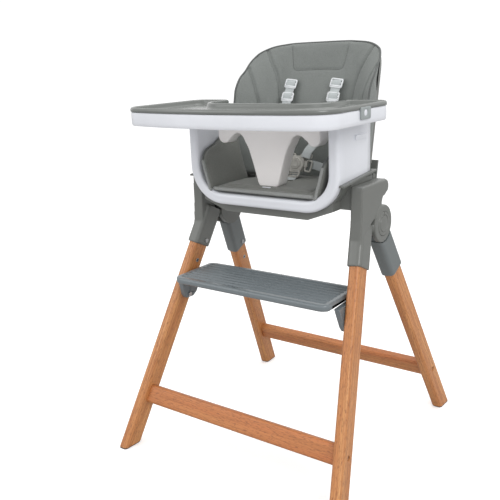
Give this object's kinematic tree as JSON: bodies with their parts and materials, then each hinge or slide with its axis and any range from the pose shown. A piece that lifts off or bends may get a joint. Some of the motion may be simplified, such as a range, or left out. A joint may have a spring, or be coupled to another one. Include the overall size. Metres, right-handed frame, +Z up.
{
  "type": "baby high chair",
  "caption": "Folding baby high chair: splayed wooden legs on grey hubs, white seat shell with padded liner, sliding tray, ribbed footrest and harness.",
  "frame": {"origin": "on the floor, midway between the four feet", "axes": "+Z up, the child faces -Y, +X to the viewer's right from the front"},
  "size_m": [0.6172, 0.6567, 0.9589],
  "materials": {
    "beech": "oiled, satin",
    "grey_plastic": "satin moulded",
    "slate_plastic": "satin moulded",
    "white_plastic": "soft gloss moulded",
    "guard_plastic": "soft gloss moulded",
    "pad_fabric": "woven leatherette with piping",
    "webbing": "woven webbing",
    "buckle_plastic": "moulded",
    "adjuster_plastic": "moulded",
    "steel": "zinc plated",
    "foot_rubber": "soft"
  },
  "bodies": {
    "frame": {"front_leg_left": "beech", "front_leg_right": "beech", "front_stretcher": "beech", "front_foot_pads": "foot_rubber", "front_stretcher_bolts": "steel", "hub_left": "grey_plastic", "hub_right": "grey_plastic", "hub_cover_left": "grey_plastic", "hub_cover_right": "grey_plastic", "hub_cover_screws": "steel", "fold_pins": "steel", "front_socket_bolts": "steel", "front_leg_eyelets": "steel", "footrest": "slate_plastic", "footrest_bracket_left": "slate_plastic", "footrest_bracket_right": "slate_plastic", "footrest_bolts": "steel", "seat_cradle": "grey_plastic", "cradle_bolts": "steel", "seat_shell": "white_plastic", "seat_pan": "grey_plastic", "seat_cushion": "pad_fabric", "side_pad_left": "pad_fabric", "side_pad_right": "pad_fabric", "crotch_guard": "guard_plastic", "guard_clip": "white_plastic", "lower_strap_left": "webbing", "lower_strap_right": "webbing", "waist_strap_left": "webbing", "waist_strap_right": "webbing", "crotch_strap": "webbing", "crotch_adjuster": "buckle_plastic", "buckle": "buckle_plastic", "buckle_tongues": "buckle_plastic"},
    "rear_frame": {"rear_leg_left": "beech", "rear_leg_right": "beech", "rear_stretcher": "beech", "rear_foot_pads": "foot_rubber", "rear_stretcher_bolts": "steel", "rear_socket_left": "grey_plastic", "rear_socket_right": "grey_plastic", "rear_socket_bolts": "steel", "rear_leg_eyelets": "steel"},
    "fold_button_left": {"fold_button_left": "grey_plastic"},
    "fold_button_right": {"fold_button_right": "grey_plastic"},
    "tray": {"tray_body": "white_plastic"},
    "tray_insert": {"tray_insert": "slate_plastic"},
    "tray_release_left": {"tray_release_left": "white_plastic"},
    "tray_release_right": {"tray_release_right": "white_plastic"},
    "backrest": {"back_shell": "grey_plastic", "back_cushion": "pad_fabric", "recline_pins": "steel", "shoulder_strap_left": "webbing", "shoulder_strap_right": "webbing", "strap_adjusters": "adjuster_plastic"},
    "recline_handle": {"recline_handle": "slate_plastic"},
    "buckle_button": {"buckle_button": "buckle_plastic"}
  },
  "joints": [
    {"name": "rear_leg_fold", "type": "hinge", "parent": "frame", "child": "rear_frame", "pos_m": [0, 0.0317, 0.556], "axis": [-1, 0, 0], "range_deg": [0, 50]},
    {"name": "fold_button_left_press", "type": "slide", "parent": "frame", "child": "fold_button_left", "axis": [1, 0, 0], "range_m": [0, 0.003], "stiffness_N_per_m": 1500},
    {"name": "fold_button_right_press", "type": "slide", "parent": "frame", "child": "fold_button_right", "axis": [-1, 0, 0], "range_m": [0, 0.003], "stiffness_N_per_m": 1500},
    {"name": "tray_slide", "type": "slide", "parent": "frame", "child": "tray", "axis": [0, -1, 0], "range_m": [0, 0.06]},
    {"name": "tray_insert_lift", "type": "slide", "parent": "tray", "child": "tray_insert", "axis": [0, 0, 1], "range_m": [0, 0.06]},
    {"name": "tray_release_left_press", "type": "slide", "parent": "frame", "child": "tray_release_left", "axis": [1, 0, 0], "range_m": [0, 0.004], "stiffness_N_per_m": 900},
    {"name": "tray_release_right_press", "type": "slide", "parent": "frame", "child": "tray_release_right", "axis": [-1, 0, 0], "range_m": [0, 0.004], "stiffness_N_per_m": 900},
    {"name": "backrest_recline", "type": "hinge", "parent": "frame", "child": "backrest", "pos_m": [0, 0.1, 0.625], "axis": [-1, 0, 0], "range_deg": [0, 18]},
    {"name": "recline_handle_lift", "type": "slide", "parent": "backrest", "child": "recline_handle", "axis": [0, 0.2164, 0.9763], "range_m": [0, 0.008], "stiffness_N_per_m": 600},
    {"name": "buckle_press", "type": "slide", "parent": "frame", "child": "buckle_button", "axis": [0, 0.9397, -0.342], "range_m": [0, 0.002], "stiffness_N_per_m": 1200}
  ]
}
